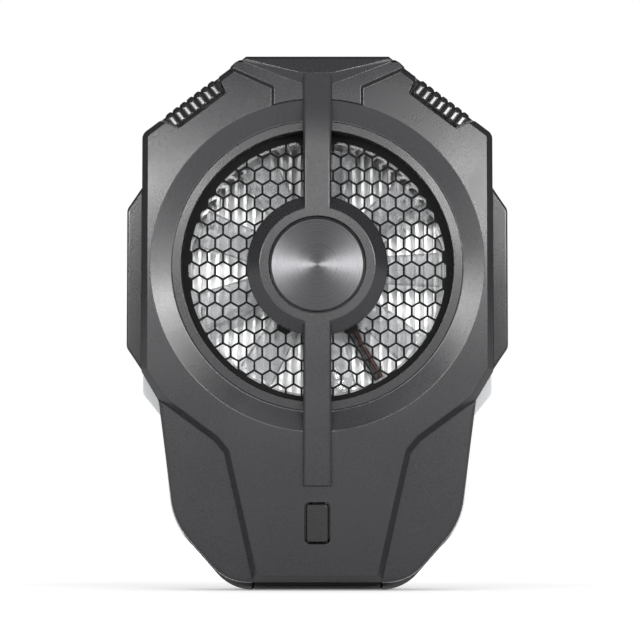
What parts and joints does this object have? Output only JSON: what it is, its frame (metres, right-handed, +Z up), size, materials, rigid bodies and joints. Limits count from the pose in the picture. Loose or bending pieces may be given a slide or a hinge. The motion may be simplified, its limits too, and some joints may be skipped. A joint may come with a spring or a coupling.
{
  "type": "phone cooling fan",
  "caption": "Clip-on cooling fan for a phone: shield-shaped body, round netted fan, cooling chip and plate behind, sprung side jaws that grip the phone.",
  "frame": {"origin": "middle of the bounding box's base, where the body stands on its bottom end with the jaws closed", "axes": "+Z up along the body from its port end to its top, -Y out of the fan's face, +X to the right seen from the front"},
  "size_m": [0.0728, 0.041, 0.101],
  "materials": {
    "shell_plastic": "fine-grained matt dark grey",
    "grip_plastic": "glossy black",
    "black_plastic": "plain matt black",
    "black_net": "black enamel",
    "turned_aluminium": "turned in fine rings",
    "frosted_plastic": "frosted translucent",
    "clear_plastic": "clear moulded",
    "fin_aluminium": "plain extruded",
    "plate_aluminium": "bead-blasted",
    "steel": "zinc plated",
    "magnet": "dark sintered",
    "core_steel": "laminated",
    "copper": "enamelled copper",
    "board_green": "solder mask",
    "ceramic": "white ceramic",
    "pellet": "sintered alloy",
    "foam": "closed-cell foam",
    "soft_pad": "soft silicone",
    "jaw_rubber": "matt rubber",
    "red_covering": "red covering",
    "black_covering": "black covering",
    "socket_steel": "nickel plated",
    "pom": "natural white",
    "bronze": "oil-filled sintered",
    "lamp": "lamp body"
  },
  "bodies": {
    "housing": {"front_cover": "shell_plastic", "grille_net": "black_net", "hub_disc": "turned_aluminium", "left_grip": "grip_plastic", "right_grip": "grip_plastic", "tact_switch": "black_plastic", "light_frame": "frosted_plastic", "rear_cover": "shell_plastic", "port_plate": "black_plastic", "usb_socket": "socket_steel", "usb_tongue": "black_plastic", "main_board": "board_green", "control_chips": "black_plastic", "board_capacitors": "steel", "leds": "lamp", "lead_connectors": "pom", "board_screws": "steel", "case_screws": "steel", "fan_frame": "clear_plastic", "fan_bearing": "bronze", "stator_core": "core_steel", "stator_coils": "copper", "fan_board": "board_green", "fan_supply_lead": "red_covering", "fan_return_lead": "black_covering", "fan_screws": "steel", "heat_sink": "fin_aluminium", "hot_ceramic": "ceramic", "chip_pellets": "pellet", "cold_ceramic": "ceramic", "chip_foam": "foam", "chip_supply_lead": "red_covering", "chip_return_lead": "black_covering", "cold_plate": "plate_aluminium", "cold_plate_screws": "steel", "thermal_pad": "soft_pad", "pinion_pin": "steel", "clamp_spring": "steel"},
    "impeller": {"fan_impeller": "clear_plastic", "rotor_yoke": "steel", "rotor_magnet": "magnet", "fan_shaft": "steel"},
    "button": {"power_button": "grip_plastic", "switch_plunger": "black_plastic"},
    "left_clamp": {"left_arm": "shell_plastic", "left_jaw_pad": "jaw_rubber"},
    "right_clamp": {"right_arm": "shell_plastic", "right_jaw_pad": "jaw_rubber"},
    "pinion": {"sync_pinion": "pom"}
  },
  "joints": [
    {"name": "fan_spin", "type": "hinge", "parent": "housing", "child": "impeller", "pos_m": [0, -0.00735, 0.0611], "axis": [0, -1, 0], "continuous": true},
    {"name": "button_press", "type": "slide", "parent": "housing", "child": "button", "axis": [0, 1, 0], "range_m": [0, 0.0004], "stiffness_N_per_m": 4000, "springref_m": -0.0001},
    {"name": "left_clamp_slide", "type": "slide", "parent": "housing", "child": "left_clamp", "axis": [-1, 0, 0], "range_m": [0, 0.0105], "stiffness_N_per_m": 1160, "springref_m": -0.002, "deforming": ["clamp_spring"]},
    {"name": "right_clamp_slide", "type": "slide", "parent": "housing", "child": "right_clamp", "axis": [1, 0, 0], "range_m": [0, 0.0105]},
    {"name": "pinion_spin", "type": "hinge", "parent": "housing", "child": "pinion", "pos_m": [0, 0.0054, 0.0469], "axis": [0, -1, 0], "range_deg": [-1, 242]}
  ],
  "couplings": [
    {"joint": "right_clamp_slide", "follows": "left_clamp_slide", "ratio": 1},
    {"joint": "pinion_spin", "follows": "left_clamp_slide", "rad_per_m": 400}
  ]
}
